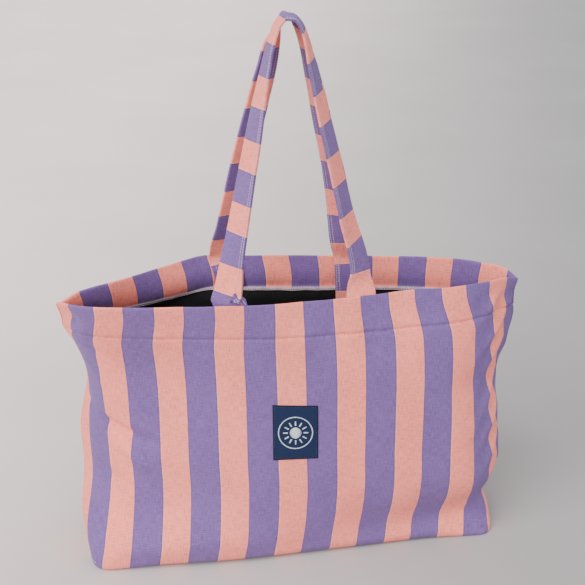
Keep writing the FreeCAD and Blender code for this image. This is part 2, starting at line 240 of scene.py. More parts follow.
class Wall:
    """One side of the bag, from side seam to side seam: its outer face at any (c, h)."""

    STEP = 2.0

    def __init__(self, ends, seam_heading, bends, rim, relief, outward):
        self.ends, self.outward = ends, outward
        self.c = np.arange(ends[0], ends[1] + self.STEP, self.STEP)
        self.c[-1] = ends[1]
        self.h = np.arange(0.0, RIM + 1.0, 1.0)
        heading = smoothly(seam_heading, self.h)[:, None] + 0.0 * self.c[None, :]
        for bend in bends:
            middle, half_width, turn = smoothly(bend, self.h).T[:, :, None]
            heading += turn * ease(self.c[None, :], middle - half_width, middle + half_width)
        self.heading = np.radians(heading)
        self.rim = smoothly(rim, self.c)
        self.relief = relief

    def run(self, heading, take_up):
        """How far the cloth has gone in x and y from its first column."""
        step = np.diff(self.c)[None, :] * (1 - take_up[:, :-1])
        middle = (heading[:, :-1] + heading[:, 1:]) / 2
        zero = np.zeros((len(self.h), 1))
        x = np.concatenate([zero, np.cumsum(np.cos(middle) * step, axis=1)], axis=1)
        y = np.concatenate([zero, np.cumsum(np.sin(middle) * step, axis=1)], axis=1)
        return x, y

    def settle(self, x, y):
        """Gives the wall its heights, its rounded bottom edge and its relief."""
        c, h = self.c[None, :], self.h[:, None]
        z = np.where(h < EDGE_ROUNDING, EDGE_ROUNDING * (h / EDGE_ROUNDING) ** 1.7, h) + 0.0 * c
        z = z + self.rim[None, :] * ease(h, 230, RIM)
        tx, ty = np.gradient(x, axis=1), np.gradient(y, axis=1)
        size = np.hypot(tx, ty) + 1e-9
        nx, ny = self.outward * -ty / size, self.outward * tx / size
        middle_of_face = 1 - ease(np.abs(c), 150, 245)
        radius = 6.0 + (EDGE_ROUNDING - 6.0) * middle_of_face + 0.0 * h
        short = np.clip(radius - z, 0, None)
        inset = radius - np.sqrt(radius ** 2 - short ** 2)
        lift = self.relief(c, h) - inset
        self.points = np.stack([x + nx * lift, y + ny * lift, z], axis=2)
        dc, dh = np.gradient(self.points, axis=1), np.gradient(self.points, axis=0)
        normal = np.cross(dc, dh) * -self.outward
        self.normals = normal / (np.linalg.norm(normal, axis=2, keepdims=True) + 1e-9)

    def at(self, c, h, out=0.0):
        """Points on the wall, moved outwards by out (inwards if it is negative)."""
        c, h, out = np.broadcast_arrays(np.asarray(c, float), np.asarray(h, float), np.asarray(out, float))
        u = np.clip((c - self.c[0]) / self.STEP, 0, len(self.c) - 1.001)
        v = np.clip(h, 0, len(self.h) - 1.001)
        i, j = np.floor(u).astype(int), np.floor(v).astype(int)
        u, v = (u - i)[..., None], (v - j)[..., None]

        def read(a):
            low = a[j, i] * (1 - u) + a[j, i + 1] * u
            high = a[j + 1, i] * (1 - u) + a[j + 1, i + 1] * u
            return low * (1 - v) + high * v
        return read(self.points) + read(self.normals) * out[..., None]


def make_front():
    wall = Wall(FRONT_ENDS, FRONT_SEAM_HEADING, FRONT_BENDS, FRONT_RIM, front_relief, -1)
    c, h = wall.c[None, :], wall.h[:, None]
    rippled = 0.10 * bump(c, 262, 45) * ease(h, 60, 110) * (1 - ease(h, 300, 345))
    dented = 0.05 * bump(c, -262, 40) * ease(h, 40, 110) * (1 - ease(h, 230, 300))
    gathered = smoothly(GATHERED, wall.c)[None, :] * ease(h, 290, 340)
    x, y = wall.run(wall.heading, rippled + dented + gathered)
    start = int(np.argmin(np.abs(wall.c)))
    x += (smoothly(FRONT_START_X, wall.h) - x[:, start])[:, None]
    y += (smoothly(FRONT_START_Y, wall.h) - y[:, start])[:, None]
    wall.seams = [(x[:, k].copy(), y[:, k].copy()) for k in (0, -1)]
    wall.settle(x, y)
    return wall


def make_back(front):
    """The back is sewn to the front along both side seams."""
    wall = Wall(BACK_ENDS, BACK_SEAM_HEADING, BACK_BENDS, BACK_RIM, back_relief, 1)
    (ax, ay), (bx, by) = front.seams
    gathered = smoothly(GATHERED, wall.c)[None, :] * ease(wall.h, 290, 340)[:, None]
    x, y = wall.run(wall.heading, gathered)
    wanted = np.hypot(bx - ax, by - ay)
    size = wanted / np.hypot(x[:, -1], y[:, -1])
    turn = np.arctan2(by - ay, bx - ax) - np.arctan2(y[:, -1], x[:, -1])
    cos, sin = (np.cos(turn) * size)[:, None], (np.sin(turn) * size)[:, None]
    x, y = ax[:, None] + x * cos - y * sin, ay[:, None] + x * sin + y * cos
    wall.settle(x, y)
    left = (wall.c < 0)[None, :, None]
    near_seam = ease(np.abs(wall.c - 6.0), 262, 284)[None, :, None]
    off_left = front.points[:, :1] - wall.points[:, :1]
    off_right = front.points[:, -1:] - wall.points[:, -1:]
    wall.points = wall.points + near_seam * np.where(left, off_left, off_right)
    return wall


# ------------------------------------------------------------------ meshes

def new_mesh(name, points, faces, material, cloth=None):
    """A mesh object in metres. cloth gives (c, h, 0) for each vertex, kept for the material."""
    mesh = bpy.data.meshes.new(name)
    mesh.from_pydata([tuple(p) for p in np.asarray(points, float) * MM], [], faces)
    mesh.polygons.foreach_set("use_smooth", [True] * len(mesh.polygons))
    if cloth is not None:
        layer = mesh.attributes.new("cloth", "FLOAT_VECTOR", "POINT")
        layer.data.foreach_set("vector", (np.asarray(cloth, float) * MM).astype(np.float32).ravel())
    mesh.materials.append(material)
    mesh.update()
    made = bpy.data.objects.new(name, mesh)
    bpy.context.scene.collection.objects.link(made)
    return made


def grid_faces(rows, columns, first=0, flip=False, closed=False):
    """Quads of a grid of points stored row by row."""
    faces = []
    last = columns if closed else columns - 1
    for r in range(rows - 1):
        for k in range(last):
            a, b = first + r * columns + k, first + r * columns + (k + 1) % columns
            quad = (a, b, b + columns, a + columns)
            faces.append(quad[::-1] if flip else quad)
    return faces


def heights(low, high, step):
    return np.linspace(low, high, max(2, int(round(abs(high - low) / step)) + 1))


def canvas_half(name, wall, material):
    """Wall, fold over the rim and hem inside, as one piece of cloth, with its half of the floor."""
    columns = np.linspace(wall.ends[0], wall.ends[1], 246)
    outside = np.concatenate([
        heights(0, 16, 2)[:-1],
        heights(16, 300, 3.2)[:-1],
        heights(300, 320, 1.25)[:-1],
        heights(320, 346, 3),
    ])
    rows, tags = [], []
    for h in outside:
        rows.append(wall.at(columns, h))
        tags.append(h)
    for angle in np.linspace(0, math.pi, 9)[1:-1]:
        over = wall.at(columns, RIM - 2.0, -FOLD + FOLD * math.cos(angle))
        over[:, 2] += 2.0 + 1.2 * math.sin(angle) - 1.2
        rows.append(over)
        tags.append(RIM + 2.0 * angle / math.pi)
    for h in heights(346, RIM - HEM + 1, 3):
        relax = 0.1 * noise(columns / 14.0, h / 20.0, 61)
        rows.append(wall.at(columns, h, -HEM_INSIDE + relax))
        tags.append(2 * RIM - h)
    points = np.array(rows)
    cloth = np.zeros_like(points)
    cloth[..., 0] = columns[None, :]
    cloth[..., 1] = np.array(tags)[:, None]
    faces = grid_faces(len(rows), len(columns), flip=wall.outward > 0)
    floor_points, floor_cloth, floor_faces = floor_half(wall, columns, points.shape[0] * points.shape[1])
    return new_mesh(
        name,
        np.concatenate([points.reshape(-1, 3), floor_points]),
        faces + floor_faces,
        material,
        np.concatenate([cloth.reshape(-1, 3), floor_cloth]),
    )


def floor_half(wall, columns, first):
    """The cloth under the bag, from the bottom edge of this side to the seam in the middle."""
    edge = wall.at(columns, 0.0)
    flat = np.abs(edge[:, 0]) < 236
    edge = edge[flat]
    rows, cloth = [], []
    for share in np.linspace(0, 1, 12):
        row = edge.copy()
        row[:, 1] += (BASE_MIDDLE_Y + wall.outward * 0.4 - edge[:, 1]) * share
        row[:, 2] = 0.25 + 0.5 * ease(share, 0, 0.1) * (1 - share)
        rows.append(row)
        down = np.zeros_like(row)
        down[:, 0] = columns[flat]
        down[:, 1] = -share * np.abs(edge[:, 1] - BASE_MIDDLE_Y)
        cloth.append(down)
    faces = grid_faces(len(rows), int(flat.sum()), first, flip=wall.outward < 0)
    return np.concatenate(rows), np.concatenate(cloth), faces


def lining_half(name, wall, material):
    columns = np.linspace(wall.ends[0] + LINING_STOP, wall.ends[1] - LINING_STOP, 150)
    rows = []
    for h in heights(RIM - HEM + 3, 6, 5):
        slack = 1.0 + 1.2 * noise(columns / 60.0, h / 60.0, 71)
        rows.append(wall.at(columns, h, -LINING_INSIDE - slack * ease(RIM - HEM - h, 0, 30)))
    edge = rows[-1]
    for share in np.linspace(0, 1, 8)[1:]:
        row = edge.copy()
        row[:, 1] += (BASE_MIDDLE_Y - edge[:, 1]) * share
        row[:, 2] = 2.0 + (edge[:, 2] - 2.0) * (1 - ease(share, 0, 0.3))
        rows.append(row)
    points = np.array(rows)
    cloth = np.zeros_like(points)
    cloth[..., 0] = columns[None, :]
    cloth[..., 1] = points[..., 2]
    faces = grid_faces(len(rows), len(columns), flip=wall.outward < 0)
    return new_mesh(name, points.reshape(-1, 3), faces, material, cloth.reshape(-1, 3))


def stitches(name, starts, ends, lifts, width, material):
    """Many short threads. Each goes from a start to an end and stands up by its lift."""
    starts, ends, lifts = (np.asarray(a, float) for a in (starts, ends, lifts))
    sides, rings = 6, 5
    along = ends - starts
    length = np.linalg.norm(along, axis=1, keepdims=True)
    along = along / length
    up = lifts / (np.linalg.norm(lifts, axis=1, keepdims=True) + 1e-9)
    across = np.cross(along, up)
    points, faces = [], []
    ring_faces = grid_faces(rings, sides, closed=True)
    for k in range(rings):
        t = k / (rings - 1)
        rise = math.sin(math.pi * t)
        fat = 0.35 + 0.65 * rise ** 0.5
        for s in range(sides):
            angle = 2 * math.pi * s / sides
            points.append(
                starts + along * length * t + up * (0.55 * width * rise - 0.15 * width)
                + (across * math.cos(angle) + up * math.sin(angle) * 0.8) * width / 2 * fat
            )
    points = np.stack(points, axis=1)
    count, each = points.shape[0], points.shape[1]
    caps = [tuple(range(sides))[::-1], tuple(range((rings - 1) * sides, rings * sides))]
    for n in range(count):
        first = n * each
        faces.extend(tuple(first + i for i in face) for face in ring_faces + caps)
    return new_mesh(name, points.reshape(-1, 3), faces, material)


def row_on_wall(wall, c_from, c_to, h_from, h_to, out, pitch, gap):
    """Starts, ends and lifts of a straight row of stitches on a wall."""
    length = math.hypot(c_to - c_from, h_to - h_from)
    count = max(1, int(round(length / pitch)))
    t = np.arange(count) / count
    half = gap / 2 / length
    a, b = t + half, t + 1.0 / count - half
    start = wall.at(c_from + (c_to - c_from) * a, h_from + (h_to - h_from) * a, out)
    end = wall.at(c_from + (c_to - c_from) * b, h_from + (h_to - h_from) * b, out)
    above = wall.at(c_from + (c_to - c_from) * a, h_from + (h_to - h_from) * a, out + math.copysign(1.0, out))
    return start, end, above - start


def joined(rows):
    return [np.concatenate([row[k] for row in rows]) for k in range(3)]


# ------------------------------------------------------------------ straps

class Strap:
    """A folded band from one strap end inside the hem, up over the arch, to the other one."""

    SPACING = 2.5

    def __init__(self, wall, climbs, c_ends, tails, sign):
        self.wall, self.sign = wall, sign
        left, arch, right = climbs
        inside = -(HEM_INSIDE + STRAP_GAP + STRAP_THICKNESS / 2)
        knots = []
        for h in (RIM - tails[0], RIM - 18, RIM - 3):
            knots.append(self.on_wall(c_ends[0], h, inside))
        knots += [*left, *arch, *right]
        for h in (RIM - 3, RIM - 18, RIM - tails[1]):
            knots.append(self.on_wall(c_ends[1], h, inside, 180.0))
        knots = np.array(knots, float)
        steps = np.linalg.norm(np.diff(knots[:, :3], axis=0), axis=1)
        reach = np.concatenate([[0], np.cumsum(steps)])
        dense = smoothly(np.column_stack([reach, knots]), np.linspace(0, reach[-1], 3000))
        steps = np.linalg.norm(np.diff(dense[:, :3], axis=0), axis=1)
        self.length_of = np.concatenate([[0], np.cumsum(steps)])
        self.dense = dense
        self.length = self.length_of[-1]
        up = len(dense) // 2
        self.above_rim = float(np.interp(RIM + STRIPE_MARK, dense[:up, 2], self.length_of[:up]))

    def on_wall(self, c, h, inside, half_turn=0.0):
        """A knot of the strap where it lies flat against the inside of the wall."""
        tangent = self.wall.at(c + 8, h) - self.wall.at(c - 8, h)
        turn = math.degrees(math.atan2(self.sign * tangent[1], tangent[0]))
        return (*self.wall.at(c, h, inside), half_turn + turn)

    def frame(self, s):
        """Middle, direction across towards the open edge, and outer face, at distance s along it."""
        s = np.atleast_1d(np.asarray(s, float))
        read = [np.interp(s, self.length_of, self.dense[:, k]) for k in range(4)]
        ahead = [np.interp(s + 1.5, self.length_of, self.dense[:, k]) for k in range(3)]
        behind = [np.interp(s - 1.5, self.length_of, self.dense[:, k]) for k in range(3)]
        middle = np.stack(read[:3], axis=1)
        tangent = np.stack(ahead, axis=1) - np.stack(behind, axis=1)
        tangent /= np.linalg.norm(tangent, axis=1, keepdims=True)
        turn = np.radians(read[3])
        across = np.stack([np.cos(turn), self.sign * np.sin(turn), np.zeros(len(s))], axis=1)
        across -= tangent * np.sum(across * tangent, axis=1, keepdims=True)
        across /= np.linalg.norm(across, axis=1, keepdims=True)
        face = np.cross(tangent, across) * self.sign
        return middle, across, face

    def thickness(self, w):
        """Half the band's thickness across its width: full, pinched at the two stitch rows."""
        half = STRAP_THICKNESS / 2
        edge = np.clip(1 - (np.abs(w) / (STRAP_WIDTH / 2)) ** 12, 0, 1) ** 0.5
        full = half * (0.62 + 0.38 * edge) + 0.35 * bump(w, -3, 11)
        return full - 0.45 * bump(w, 12.0, 1.3) - 0.45 * bump(w, 15.5, 1.1)

    def at(self, s, w, side, out=0.0):
        """A point on the band: side 1 is its outer face and -1 its inner face."""
        middle, across, face = self.frame(s)
        s = np.atleast_1d(s)
        sway = 0.4 * noise(s / 33.0, w / 30.0, 81) + 0.12 * noise(s / 9.0, w / 9.0, 82)
        wide = w + 0.2 * noise(s / 25.0, 0.5, 83) * np.sign(w)
        rise = side * (self.thickness(w) + out) + sway
        return middle + across * np.reshape(wide, (-1, 1)) + face * np.reshape(rise, (-1, 1))


def strap_mesh(name, strap, offset, material):
    count = int(strap.length / strap.SPACING) + 1
    s = np.linspace(0, strap.length, count)
    half = STRAP_WIDTH / 2
    across = [-half, -half + 0.3, -16.0, -12.0, -7.0, -2.0, 3.0, 8.0]
    across += [10.6, 12.0, 13.4, 14.4, 15.5, 16.6, half - 0.2]
    loop = [(w, 1, 0.0) for w in across] + [(half - 0.7, 1, -1.0)] + [(w, -1, 0.0) for w in across[::-1]]
    columns = [strap.at(s, np.full(count, w), side, out) for w, side, out in loop]
    points = np.stack(columns, axis=1)
    cloth = np.zeros_like(points)
    bunched = BUNCHED * ease(s, strap.length / 2 - 40, strap.length / 2 + 40)
    cloth[..., 0] = (s + offset + bunched)[:, None]
    cloth[..., 1] = np.array([w for w, _, _ in loop])[None, :]
    faces = grid_faces(count, len(loop), closed=True, flip=strap.sign > 0)
    last = (count - 1) * len(loop)
    caps = [tuple(range(len(loop))), tuple(range(last, last + len(loop)))[::-1]]
    return new_mesh(name, points.reshape(-1, 3), faces + caps, material, cloth.reshape(-1, 3))


def strap_rows(strap, pitch=STITCH_PITCH, gap=0.55):
    rows = []
    for w in (12.0, 15.5):
        for side in (1, -1):
            count = int((strap.length - 6) / pitch)
            s = 3 + np.arange(count) * pitch
            wide = np.full(count, w)
            start = strap.at(s + gap / 2, wide, side, 0.0)
            end = strap.at(s + pitch - gap / 2, wide, side, 0.0)
            face = strap.frame(s)[2] * side
            rows.append((start, end, face))
    return joined(rows)


# ------------------------------------------------------------------ materials

class Shader:
    """A small helper that builds a node material step by step."""

    def __init__(self, name, roughness, sheen=0.0, sheen_tint=(1, 1, 1), specular=0.25):
        self.material = bpy.data.materials.new(name)
        self.material.use_nodes = True
        self.tree = self.material.node_tree
        self.tree.nodes.clear()
        self.output = self.tree.nodes.new("ShaderNodeOutputMaterial")
        self.surface = self.tree.nodes.new("ShaderNodeBsdfPrincipled")
        self.surface.inputs["Roughness"].default_value = roughness
        self.surface.inputs["Specular IOR Level"].default_value = specular
        self.surface.inputs["Sheen Weight"].default_value = sheen
        self.surface.inputs["Sheen Roughness"].default_value = 0.5
        self.surface.inputs["Sheen Tint"].default_value = (*sheen_tint, 1)
        self.link(self.surface.outputs[0], self.output.inputs["Surface"])

    def link(self, source, target):
        self.tree.links.new(source, target)

    def feed(self, target, value):
        if isinstance(value, bpy.types.NodeSocket):
            self.link(value, target)
        else:
            target.default_value = value

    def math(self, operation, a, b=0.0, clamp=False):
        node = self.tree.nodes.new("ShaderNodeMath")
        node.operation = operation
        node.use_clamp = clamp
        self.feed(node.inputs[0], a)
        self.feed(node.inputs[1], b)
        return node.outputs[0]

    def span(self, value, low, high, to_low=0.0, to_high=1.0, smooth=True):
        node = self.tree.nodes.new("ShaderNodeMapRange")
        node.interpolation_type = "SMOOTHSTEP" if smooth else "LINEAR"
        for socket, setting in zip(node.inputs, (value, low, high, to_low, to_high)):
            self.feed(socket, setting)
        return node.outputs[0]

    def mix(self, share, a, b, kind="MIX"):
        node = self.tree.nodes.new("ShaderNodeMix")
        node.data_type = "RGBA"
        node.blend_type = kind
        self.feed(node.inputs[0], share)
        self.feed(node.inputs[6], a)
        self.feed(node.inputs[7], b)
        return node.outputs[2]

    def cloth(self):
        """The cloth's own coordinates in millimetres."""
        node = self.tree.nodes.new("ShaderNodeAttribute")
        node.attribute_name = "cloth"
        scale = self.tree.nodes.new("ShaderNodeVectorMath")
        scale.operation = "SCALE"
        self.link(node.outputs["Vector"], scale.inputs[0])
        scale.inputs["Scale"].default_value = 1000.0
        parts = self.tree.nodes.new("ShaderNodeSeparateXYZ")
        self.link(scale.outputs[0], parts.inputs[0])
        return scale.outputs[0], parts.outputs[0], parts.outputs[1]

    def place(self):
        """Coordinates fixed to the piece, in metres."""
        node = self.tree.nodes.new("ShaderNodeTexCoord")
        return node.outputs["Object"]

    def stretched(self, vector, scale):
        node = self.tree.nodes.new("ShaderNodeMapping")
        self.link(vector, node.inputs["Vector"])
        node.inputs["Scale"].default_value = scale
        return node.outputs[0]

    def noise(self, vector, scale, detail=2.0, stretch=(1, 1, 1)):
        node = self.tree.nodes.new("ShaderNodeTexNoise")
        self.link(self.stretched(vector, stretch), node.inputs["Vector"])
        node.inputs["Scale"].default_value = scale
        node.inputs["Detail"].default_value = detail
        return node.outputs["Fac"]

    def raise_by(self, height, distance, strength=1.0):
        node = self.tree.nodes.new("ShaderNodeBump")
        node.inputs["Distance"].default_value = distance
        node.inputs["Strength"].default_value = strength
        self.link(height, node.inputs["Height"])
        self.link(node.outputs[0], self.surface.inputs["Normal"])

    def colour_times(self, colour, tone):
        """The surface colour: a colour made lighter or darker by a tone around 1."""
        tint = self.tree.nodes.new("ShaderNodeCombineColor")
        for socket in tint.inputs[:3]:
            self.link(tone, socket)
        self.colour(self.mix(1.0, colour, tint.outputs[0], "MULTIPLY"))

    def colour(self, value):
        self.feed(self.surface.inputs["Base Color"], value)

    def roughness(self, value):
        self.feed(self.surface.inputs["Roughness"], value)


PINK = (0.97, 0.262, 0.205, 1)
PINK_PALE = (0.97, 0.37, 0.31, 1)
PURPLE = (0.170, 0.096, 0.290, 1)
PURPLE_DARK = (0.135, 0.076, 0.24, 1)
THREAD_COLOUR = (0.70, 0.58, 0.64, 1)
NAVY = (0.011, 0.020, 0.058, 1)
NAVY_DARK = (0.006, 0.011, 0.034, 1)
LINING_DARK = (0.0035, 0.0035, 0.004, 1)
LINING_LIGHT = (0.009, 0.009, 0.010, 1)
# The floor's two colours: a painted lit side and a painted shaded side, standing in for the key light's
# falloff.
PAPER_PAINTED_LIT = (0.84, 0.75, 0.72, 1)
PAPER_PAINTED_SHADE = (0.305, 0.297, 0.30, 1)
SILVER = (0.62, 0.66, 0.70, 1)


def weave(shader, vector, c, h, pitch):
    """Height of a plain weave of threads crossing over and under each other."""
    turn = 2 * math.pi / pitch
    along = shader.math("SINE", shader.math("MULTIPLY", c, turn))
    up = shader.math("SINE", shader.math("MULTIPLY", h, turn))
    crossing = shader.math("MULTIPLY", along, up)
    slub_up = shader.noise(vector, 1.0, 2.0, (1.3, 0.10, 1))
    slub_along = shader.noise(vector, 1.0, 2.0, (0.10, 1.3, 1))
    slubs = shader.math("ADD", slub_up, slub_along)
    return shader.math("ADD", shader.math("MULTIPLY", crossing, 0.30), slubs), slubs


def striped_canvas(name):
    """Canvas with pink and lilac stripes, whose edges are a little ragged."""
    shader = Shader(name, 0.88, sheen=0.12, sheen_tint=(1.0, 0.93, 0.95), specular=0.18)
    vector, c, h = shader.cloth()
    ragged = shader.math("MULTIPLY", shader.math("SUBTRACT", shader.noise(vector, 1.4, 1.0), 0.5), 0.9)
    moved = shader.math("ADD", shader.math("ADD", c, ragged), 0.75)
    place = shader.math("FLOORED_MODULO", moved, 2 * STRIPE)
    wide = STRIPE + 1.5
    from_middle = shader.math("ABSOLUTE", shader.math("SUBTRACT", place, wide / 2))
    from_edge = shader.math("SUBTRACT", from_middle, wide / 2)
    is_pink = shader.span(from_edge, -0.25, 0.25)
    height, slubs = weave(shader, vector, c, h, 0.95)
    broad = shader.noise(vector, 0.02, 3.0)
    pink = shader.mix(shader.span(shader.math("ABSOLUTE", from_edge), 0.4, 1.6), PINK_PALE, PINK)
    purple = shader.mix(shader.span(shader.math("ABSOLUTE", from_edge), 0.5, 2.0), PURPLE_DARK, PURPLE)
    cloth = shader.mix(is_pink, purple, pink)
    slub_shade = shader.span(slubs, 0.75, 1.25, 0.88, 1.12)
    shade = shader.math("ADD", slub_shade, shader.span(broad, 0.3, 0.7, -0.04, 0.04))
    grain = shader.span(height, 0.6, 1.4, 0.90, 1.08)
    tone = shader.math("MULTIPLY", shade, grain)
    shader.colour_times(cloth, tone)
    shader.roughness(shader.span(slubs, 0.7, 1.3, 0.94, 0.80))
    shader.raise_by(height, 0.00028, 0.9)
    return shader.material


def lining_cloth():
    shader = Shader("black_lining", 0.78, sheen=0.08, specular=0.12)
    vector, c, h = shader.cloth()
    height, slubs = weave(shader, vector, c, h, 0.6)
    shader.colour(shader.mix(shader.span(slubs, 0.7, 1.3), LINING_DARK, LINING_LIGHT))
    shader.roughness(shader.span(slubs, 0.7, 1.3, 0.7, 0.9))
    shader.raise_by(height, 0.00015, 0.7)
    return shader.material


def thread(name, colour, dark):
    shader = Shader(name, 0.6, sheen=0.3, specular=0.3)
    fibres = shader.noise(shader.place(), 2600.0, 2.0)
    broad = shader.noise(shader.place(), 90.0, 1.0)
    both = shader.math("ADD", shader.math("MULTIPLY", fibres, 0.6), shader.math("MULTIPLY", broad, 0.4))
    shader.colour(shader.mix(shader.span(both, 0.35, 0.65), dark, colour))
    shader.roughness(shader.span(fibres, 0.3, 0.7, 0.5, 0.75))
    shader.raise_by(fibres, 0.0001, 0.8)
    return shader.material


def woven_label():
    shader = Shader("navy_label", 0.72, sheen=0.02, specular=0.12)
    vector, c, h = shader.cloth()
    twill = shader.math("SINE", shader.math("MULTIPLY", shader.math("ADD", c, h), 2 * math.pi / 0.75))
    fine = shader.math("SINE", shader.math("MULTIPLY", h, 2 * math.pi / 0.4))
    wear = shader.noise(vector, 0.35, 3.0)
    height = shader.math("ADD", shader.math("MULTIPLY", twill, 0.35), shader.math("MULTIPLY", fine, 0.15))
    middle_c, middle_h = (LABEL_LEFT + LABEL_RIGHT) / 2, (LABEL_LOW + LABEL_HIGH) / 2
    from_c = shader.math("ABSOLUTE", shader.math("SUBTRACT", c, middle_c))
    from_h = shader.math("ABSOLUTE", shader.math("SUBTRACT", h, middle_h))
    edge_c = shader.math("SUBTRACT", from_c, (LABEL_RIGHT - LABEL_LEFT) / 2)
    edge_h = shader.math("SUBTRACT", from_h, (LABEL_HIGH - LABEL_LOW) / 2)
    border = shader.span(shader.math("MAXIMUM", edge_c, edge_h), -2.6, -2.2)
    ground = shader.mix(border, NAVY, NAVY_DARK)
    shade = shader.span(shader.math("ADD", height, wear), 0.1, 1.0, 0.75, 1.3)
    shader.colour_times(ground, shade)
    shader.roughness(shader.span(wear, 0.3, 0.7, 0.5, 0.72))
    shader.raise_by(height, 0.00012, 0.8)
    return shader.material


def studio_paper():
    """Pale paper with painted light: painted lighter on the left side, towards the key light, and painted
    shade darker on the right.
    """
    shader = Shader("studio_paper", 0.9, specular=0.15)
    parts = shader.tree.nodes.new("ShaderNodeSeparateXYZ")
    shader.link(shader.place(), parts.inputs[0])
    across = shader.math("SUBTRACT", parts.outputs[0], shader.math("MULTIPLY", parts.outputs[1], 0.28))
    # Painted light and shade: the floor is painted lighter towards the left and darker towards the right, in
    # place of the key light's falloff and the bag's soft shadow.
    side = shader.span(across, -0.95, 0.60)
    mottle = shader.span(shader.noise(shader.place(), 3.0, 3.0), 0.3, 0.7, 0.97, 1.03)
    shader.colour_times(shader.mix(side, PAPER_PAINTED_LIT, PAPER_PAINTED_SHADE), mottle)
    return shader.material


# ------------------------------------------------------------------ the label

def on_label(wall, c, h, out):
    """Points over the label, which lies smoothly on the cloth, its top left corner a little high."""
    lean = (h - LABEL_LOW) / (LABEL_HIGH - LABEL_LOW) * (LABEL_RIGHT - c) / (LABEL_RIGHT - LABEL_LEFT)
    h = h + LABEL_LEAN * lean
    flat = wall.at(c, h, 0.0)
    near = sum(wall.at(c + dc, h + dh, 0.0) for dc, dh in ((-6, 0), (6, 0), (0, -6), (0, 6))) / 4
    face = wall.at(c, h, 1.0) - flat
    return near * 0.5 + flat * 0.5 + face * np.asarray(out, float)[..., None]


def label_patch(wall, material):
    c = np.linspace(LABEL_LEFT, LABEL_RIGHT, 45)
    h = np.linspace(LABEL_LOW, LABEL_HIGH, 57)
    cc, hh = np.meshgrid(c, h)
    to_edge = np.minimum.reduce([cc - LABEL_LEFT, LABEL_RIGHT - cc, hh - LABEL_LOW, LABEL_HIGH - hh])
    seam = bump(to_edge, LABEL_SEAM_INSET, 0.8)
    curl = 0.35 * noise(cc / 12.0, hh / 12.0, 91) * (1 - ease(to_edge, 0, 4))
    out = 0.9 + 0.35 * ease(to_edge, 0, 1.2) - 0.35 * seam + curl
    top = on_label(wall, cc, hh, out)
    under = on_label(wall, cc, hh, np.full_like(out, 0.1))
    points = np.concatenate([top.reshape(-1, 3), under.reshape(-1, 3)])
    cloth = np.stack([cc, hh, np.zeros_like(cc)], axis=2).reshape(-1, 3)
    count = cc.size
    faces = grid_faces(len(h), len(c)) + grid_faces(len(h), len(c), count, flip=True)
    rim = list(range(len(c)))
    rim += [r * len(c) + len(c) - 1 for r in range(1, len(h))]
    rim += [(len(h) - 1) * len(c) + k for k in range(len(c) - 2, -1, -1)]
    rim += [r * len(c) for r in range(len(h) - 2, 0, -1)]
    for a, b in zip(rim, rim[1:] + rim[:1]):
        faces.append((b, a, a + count, b + count))
    return new_mesh("label", points, faces, material, np.concatenate([cloth, cloth]))


def satin(wall, outline_rows):
    """Close satin stitches: each row is (c0, h0, c1, h1) from one side of a shape to the other."""
    rows = np.array(outline_rows, float)
    out = np.full(len(rows), 1.35)
    start = on_label(wall, rows[:, 0], rows[:, 1], out)
    end = on_label(wall, rows[:, 2], rows[:, 3], out)
    above = on_label(wall, rows[:, 0], rows[:, 1], out + 1.0)
    return start, end, above - start


def sun_rows():
    """A plain sun: a filled disc, its rays, and a ring around them."""
    middle_c, middle_h = (LABEL_LEFT + LABEL_RIGHT) / 2, (LABEL_LOW + LABEL_HIGH) / 2
    rows = []
    for h in np.arange(-SUN_RADIUS + 0.2, SUN_RADIUS, 0.45):
        half = math.sqrt(SUN_RADIUS ** 2 - h ** 2)
        rows.append((-half, h, half, h))
    for k in range(RAYS):
        angle = 2 * math.pi * k / RAYS
        out, side = (math.sin(angle), math.cos(angle)), (math.cos(angle), -math.sin(angle))
        for reach in np.arange(9.6, 15.0, 0.45):
            half = 1.0 - 0.06 * (reach - 9.6)
            a = [out[i] * reach + side[i] * half for i in (0, 1)]
            b = [out[i] * reach - side[i] * half for i in (0, 1)]
            rows.append((*a, *b))
    for k in range(280):
        angle = 2 * math.pi * k / 280
        lean = angle + 0.03
        near, far = RING_RADIUS - 0.65, RING_RADIUS + 0.65
        start = (math.sin(angle) * near, math.cos(angle) * near)
        end = (math.sin(lean) * far, math.cos(lean) * far)
        rows.append((*start, *end))
    return [(a + middle_c, b + middle_h, c + middle_c, d + middle_h) for a, b, c, d in rows]


def label_stitch_rows(wall):
    """The rows of stitches along the four sides of the label."""
    left, right = LABEL_LEFT + LABEL_SEAM_INSET, LABEL_RIGHT - LABEL_SEAM_INSET
    low, high = LABEL_LOW + LABEL_SEAM_INSET, LABEL_HIGH - LABEL_SEAM_INSET
    corners = [(left, low), (right, low), (right, high), (left, high)]
    rows = []
    for (c0, h0), (c1, h1) in zip(corners, corners[1:] + corners[:1]):
        count = int(round(math.hypot(c1 - c0, h1 - h0) / 2.6))
        t = np.arange(count) / count
        start = on_label(wall, c0 + (c1 - c0) * t, h0 + (h1 - h0) * t, np.full(count, 0.9))
        t = t + 0.8 / count
        end = on_label(wall, c0 + (c1 - c0) * t, h0 + (h1 - h0) * t, np.full(count, 0.9))
        above = on_label(wall, c0 + (c1 - c0) * t, h0 + (h1 - h0) * t, np.full(count, 1.9))
        rows.append((start, end, above - end))
    return rows


# ------------------------------------------------------------------ putting it together

front = make_front()
back = make_back(front)

canvas = striped_canvas("striped_canvas")
lining_material = lining_cloth()
white_thread = thread("pale_thread", THREAD_COLOUR, (0.45, 0.36, 0.42, 1))
silver_thread = thread("silver_thread", SILVER, (0.42, 0.46, 0.50, 1))
navy_thread = thread("navy_thread", (0.03, 0.05, 0.10, 1), (0.012, 0.02, 0.045, 1))


def add(piece, replaced=(), body="bag", bend=None):
    if bend:
        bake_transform(piece)
    else:
        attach(piece, body)
    if replaced:
        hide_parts(*replaced)
    return piece


